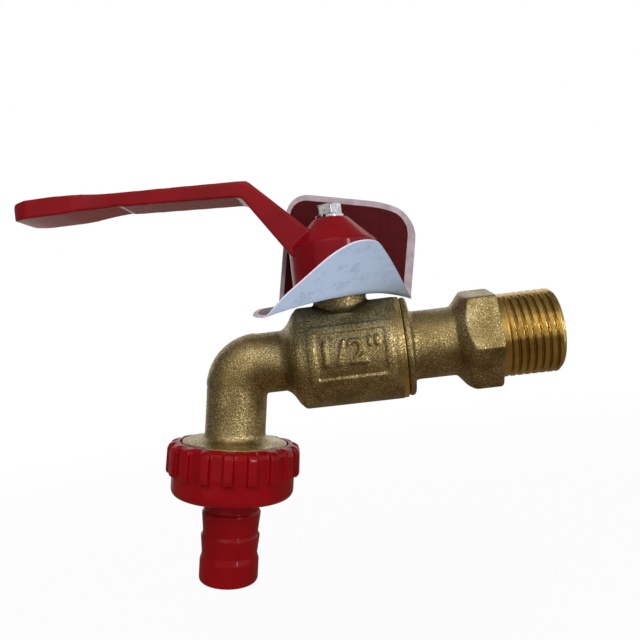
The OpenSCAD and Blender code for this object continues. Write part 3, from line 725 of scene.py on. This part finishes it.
# %% Fold rule
CARD_W, CARD_L, CARD_CORNER, CARD_T, CARD_HOLE, CARD_Z = 36.0, 80.0, 6.0, 0.35, 8.0, 14.4
CARD_TURN, CARD_DIP, CARD_LEAN = -5.0, 3.0, -2.5
WORN_CORNER, CARD_TAPER, TAPER_FROM = 11.0, 0.14, 12.0
BACK_FOLD = ((0.0, 11.0), 14.0, 2.5, 91.0)
FRONT_FOLD = ((CARD_W / 2, 10.0), 57.0 + 180.0, 5.0, 39.0)
SAG_X, SAG, DROOP_Y, DROOP = 5.0, 0.02, 10.0, 0.003
CARD_ROUND, CARD_RINGS = 200, 44
CARD_PLACE = (
    Matrix.Translation((VALVE_X, 0, CARD_Z * MM))
    @ Matrix.Rotation(math.radians(CARD_DIP), 4, "X")
    @ Matrix.Rotation(math.radians(CARD_LEAN), 4, "Y")
    @ Matrix.Rotation(math.radians(CARD_TURN), 4, "Z")
)


def bend_up(x, y, height, fold):
    (line_x, line_y), slant, radius, turn = fold
    across = (-math.sin(math.radians(slant)), math.cos(math.radians(slant)))
    past = (x - line_x) * across[0] + (y - line_y) * across[1]
    if past <= 0:
        return Vector((x, y, height))
    full = math.radians(turn)
    angle = min(past / radius, full)
    straight = max(past - radius * full, 0.0)
    run = (radius - height) * math.sin(angle) + straight * math.cos(angle) - past
    rise = radius - (radius - height) * math.cos(angle) + straight * math.sin(angle)
    return Vector((x + run * across[0], y + run * across[1], rise))


def fold_card(x, y, height):
    back = bend_up(x, y, height, BACK_FOLD)
    spot = back if back.z > height else bend_up(x, y, height, FRONT_FOLD)
    spot.z -= SAG * max(x - SAG_X, 0.0) ** 2 + DROOP * max(-y - DROOP_Y, 0.0) ** 2
    return CARD_PLACE @ (spot * MM)


def inside(x, y, shift=0.0):
    corner = WORN_CORNER if x < 0 and y < 0 else CARD_CORNER
    bite = CARD_TAPER * max(-y - TAPER_FROM, 0.0) if x < 0 else 0.0
    qx, qy = abs(x + shift) + bite - (CARD_W / 2 - corner), abs(y) - (CARD_L / 2 - corner)
    return corner - math.hypot(max(qx, 0.0), max(qy, 0.0)) - min(max(qx, qy), 0.0)


def outline_point(angle):
    low, high = CARD_HOLE, CARD_L
    for _ in range(40):
        middle = (low + high) / 2
        if inside(middle * math.cos(angle), middle * math.sin(angle)) > 0:
            low = middle
        else:
            high = middle
    return Vector((low * math.cos(angle), low * math.sin(angle)))


# %% Card finishes
BORDER, PRINT_SHIFT = 1.6, 0.45
CARD_RED, CARD_RED_DARK = (0.065, 0.001, 0.002), (0.045, 0.001, 0.0015)
# Painted shade: the printed side's bare border is white paper, coloured here a dim greyish lavender
# for the shade on it.
CARD_BORDER_PAINTED_SHADE, CARD_BORDER_PAINTED_SHADE_DARK = (0.42, 0.34, 0.37), (0.30, 0.24, 0.26)
# Painted shade: the card is white, but its underside and cut edge get a darker blue-grey for the
# cool shade on them, and the grey of the smudges is darkened and blued the same way.
CARD_WHITE_IN_PAINTED_BLUE_SHADE, CARD_GREY, CARD_EDGE = (0.47, 0.58, 0.76), (0.36, 0.44, 0.58), (0.62, 0.40, 0.46)


def printed_card(name):
    material, tree, shader, place = new_finish(name, Roughness=0.42, Specular_IOR_Level=0.08)
    deep = add(tree, "ShaderNodeAttribute", attribute_name="depth").outputs["Fac"]
    field = spread(tree, deep, BORDER - 0.06, BORDER + 0.06, 0.0, 1.0)
    ink = ramp(tree, noise(tree, place, 700.0, 3.0), (0.35, CARD_RED_DARK), (0.65, CARD_RED))
    # Painted shade: the white border around the red print gets the dim lavender grey of shade.
    painted_shade_border = ramp(tree, noise(tree, place, 300.0, 3.0), (0.35, CARD_BORDER_PAINTED_SHADE_DARK), (0.65, CARD_BORDER_PAINTED_SHADE))
    tree.links.new(mix_colour(tree, field, painted_shade_border, ink), shader.inputs["Base Color"])
    bump(tree, shader, noise(tree, place, 2200.0, 3.0), 0.01 * MM, 0.5)
    return material


def card_back(name):
    material, tree, shader, place = new_finish(name, Roughness=0.6, Specular_IOR_Level=0.2)
    stain = noise(tree, place, 260.0, 4.0)
    dust = noise(tree, place, 2400.0, 2.0)
    smudge = maths(tree, "MULTIPLY", stain, dust)
    # Painted shade: the white underside is a dim blue-grey, and its smudges are real dirt in that
    # same painted shade.
    clean = ramp(tree, smudge, (0.12, CARD_WHITE_IN_PAINTED_BLUE_SHADE), (0.29, CARD_WHITE_IN_PAINTED_BLUE_SHADE), (0.38, CARD_GREY))
    specks = add(tree, "ShaderNodeTexVoronoi", {"Vector": place, "Scale": 420.0}, feature="F1")
    dots = spread(tree, specks.outputs["Distance"], 0.05, 0.09, 0.55, 1.0)
    pick = add(tree, "ShaderNodeSeparateColor", {"Color": specks.outputs["Color"]}).outputs[0]
    dots = maths(tree, "MAXIMUM", dots, maths(tree, "LESS_THAN", pick, 0.88))
    tinted = mix_colour(tree, dots, (0.30, 0.31, 0.34, 1.0), clean)
    tree.links.new(tinted, shader.inputs["Base Color"])
    bump(tree, shader, noise(tree, place, 1600.0, 3.0), 0.015 * MM, 0.5)
    return material


def cut_edge(name):
    material, tree, shader, place = new_finish(name, Roughness=0.7)
    # The white of the cut edge is the same painted blue-grey shade.
    tint = ramp(tree, noise(tree, place, 900.0), (0.3, CARD_EDGE), (0.7, CARD_WHITE_IN_PAINTED_BLUE_SHADE))
    tree.links.new(tint, shader.inputs["Base Color"])
    return material


# %% Swing tag
def make_card():
    work = bmesh.new()
    depth = work.verts.layers.float.new("depth")
    skins = []
    for height in (CARD_T, 0.0):
        rows = []
        for i in range(CARD_ROUND):
            angle = 2 * math.pi * (i + 0.01) / CARD_ROUND
            hole = Vector((math.cos(angle), math.sin(angle))) * CARD_HOLE
            rim = outline_point(angle)
            row = []
            for j in range(CARD_RINGS + 1):
                flat = hole.lerp(rim, j / CARD_RINGS)
                vert = work.verts.new(fold_card(flat.x, flat.y, height))
                vert[depth] = inside(flat.x, flat.y, PRINT_SHIFT)
                row.append(vert)
            rows.append(row)
        skins.append(rows)
    for skin, rows in enumerate(skins):
        for i in range(CARD_ROUND):
            row, after = rows[i], rows[(i + 1) % CARD_ROUND]
            for j in range(CARD_RINGS):
                work.faces.new((row[j], row[j + 1], after[j + 1], after[j])).material_index = skin
    for i in range(CARD_ROUND):
        k = (i + 1) % CARD_ROUND
        for j in (0, CARD_RINGS):
            square = (skins[0][i][j], skins[0][k][j], skins[1][k][j], skins[1][i][j])
            work.faces.new(square).material_index = 2
    card = from_bmesh("tag_dressed", work)
    smooth_faces(card, 60)
    return card


card = make_card()
card.data.materials.append(printed_card("printed card"))
card.data.materials.append(card_back("card underside"))
card.data.materials.append(cut_edge("cut card edge"))
settle_piece(card, "lever", "printed_card", "tag")
corners = 3 * CARD_CORNER**2 + WORN_CORNER**2

# %% [markdown]
# ## Pieces inside
# The ball, the seats, the stem and the packing are hidden unless the tap is taken apart, or a
# viewer looks down a bore. They keep their frame shapes and only get finishes.

# %% Inner pieces
inner_gold = turned_brass("turned inner brass", rough=0.28, colour=(0.72, 0.50, 0.20))
INNER = {"ball": plate, "stem": inner_gold, "gland_nut": inner_gold, "thrust_washer": seat_white}
INNER.update({"inlet_seat": seat_white, "outlet_seat": seat_white, "packing_ring": seat_white})
INNER["hose_washer"] = rubber
for node_name, material in INNER.items():
    for holder in nodes[node_name].material_slots:
        holder.material = material
    print(node_name, "gets", material.name)

# %% [markdown]
# ## Studio
# The tap is held by its inlet, so the floor lies well below it. Floor and world are pale, and
# they show as white to the camera and in reflections without putting more light on the tap.
# Bright metal needs something darker to mirror, or it looks like plaster: four flags that only
# reflections can see stand in front, above, below and at the left, as a photographer would set
# them.

# %% Floor and flags
FLOOR_Z, FLOOR_HALF = -120 * MM, 1.6


def flat_sheet(name, corners):
    work = bmesh.new()
    work.faces.new([work.verts.new(corner) for corner in corners])
    return from_bmesh(name, work, outward=False)


def seen_rays(tree):
    rays = tree.nodes.new("ShaderNodeLightPath").outputs
    seen = maths(tree, "MAXIMUM", rays["Is Camera Ray"], rays["Is Glossy Ray"])
    return maths(tree, "MAXIMUM", seen, rays["Is Transmission Ray"])


def make_floor():
    corners = ((-1, -1), (1, -1), (1, 1), (-1, 1))
    spots = [(x * FLOOR_HALF, y * FLOOR_HALF, FLOOR_Z) for x, y in corners]
    floor = flat_sheet("floor", spots)
    material = bpy.data.materials.new("pale floor")
    material.use_nodes = True
    tree = material.node_tree
    shader = tree.nodes["Principled BSDF"]
    shader.inputs["Base Color"].default_value = (0.9, 0.9, 0.9, 1.0)
    shader.inputs["Roughness"].default_value = 0.9
    glow = add(tree, "ShaderNodeEmission", {"Color": (1.0, 1.0, 1.0, 1.0), "Strength": 1.0})
    place = add(tree, "ShaderNodeTexCoord").outputs["Object"]
    white = spread(tree, length_of(tree, place), 0.2, 0.9, 0.92, 1.0)
    share = maths(tree, "MULTIPLY", seen_rays(tree), white)
    inputs = {0: share, 1: shader.outputs[0], 2: glow.outputs[0]}
    mixed = add(tree, "ShaderNodeMixShader", inputs)
    tree.links.new(mixed.outputs[0], tree.nodes["Material Output"].inputs["Surface"])
    floor.data.materials.append(material)
    return floor


def make_flag(name, corners, tone):
    flag = flat_sheet(name, corners)
    material = bpy.data.materials.new(name)
    material.use_nodes = True
    tree = material.node_tree
    glow = add(tree, "ShaderNodeEmission", {"Color": (*tone, 1.0), "Strength": 1.0})
    tree.links.new(glow.outputs[0], tree.nodes["Material Output"].inputs["Surface"])
    flag.data.materials.append(material)
    flag.visible_camera = False
    flag.visible_diffuse = False
    flag.visible_shadow = False
    return flag


make_floor()
TENT_X, TENT_Y = 0.45, (-0.40, 0.35, 1.2)
TENT_Z = (FLOOR_Z + 10 * MM, 0.40)
TENT = {
    "front flag": ([(-1, 0, 0), (1, 0, 0), (1, 0, 1), (-1, 0, 1)], (0.56, 0.54, 0.49)),
    "top flag": ([(-1, 0, 1), (1, 0, 1), (1, 1, 1), (-1, 1, 1)], (0.18, 0.175, 0.165)),
    "under flag": ([(-1, 0, 0), (1, 0, 0), (1, 2, 0), (-1, 2, 0)], (0.19, 0.15, 0.11)),
    "left flag": ([(-1, 0, 0), (-1, 1, 0), (-1, 1, 1), (-1, 0, 1)], (0.20, 0.19, 0.18)),
}
for name, (corners, tone) in TENT.items():
    spots = [(x * TENT_X, TENT_Y[y], TENT_Z[z]) for x, y, z in corners]
    make_flag(name, spots, tone)


# %% World and lamps
WORLD_LIGHT, WORLD_TINT = 0.45, (0.93, 0.96, 1.0)


def make_world():
    world = bpy.data.worlds.new("studio")
    bpy.context.scene.world = world
    world.use_nodes = True
    tree = world.node_tree
    tree.nodes.clear()
    cool = {"Color": (*WORLD_TINT, 1.0), "Strength": WORLD_LIGHT}
    light = add(tree, "ShaderNodeBackground", cool)
    white = add(tree, "ShaderNodeBackground", {"Color": (1.0, 1.0, 1.0, 1.0), "Strength": 1.0})
    inputs = {0: seen_rays(tree), 1: light.outputs[0], 2: white.outputs[0]}
    mixed = add(tree, "ShaderNodeMixShader", inputs)
    add(tree, "ShaderNodeOutputWorld", {"Surface": mixed.outputs[0]})


def make_lamp(name, place, width, height, power, colour=(1.0, 1.0, 1.0)):
    data = bpy.data.lights.new(name, "AREA")
    data.shape, data.size, data.size_y = "RECTANGLE", width, height
    data.energy, data.color = power, colour
    lamp = bpy.data.objects.new(name, data)
    place = Vector(place)
    lamp.location = place
    lamp.rotation_euler = (Vector((VALVE_X, 0, 0)) - place).to_track_quat("-Z", "Y").to_euler()
    bpy.context.scene.collection.objects.link(lamp)


make_world()
make_lamp("key", (-0.06, -0.42, 0.38), 0.34, 0.34, 2.4, (1.0, 0.98, 0.95))
make_lamp("side", (0.26, -0.33, 0.07), 0.05, 0.20, 0.55)
bpy.context.scene.view_settings.view_transform = "Standard"
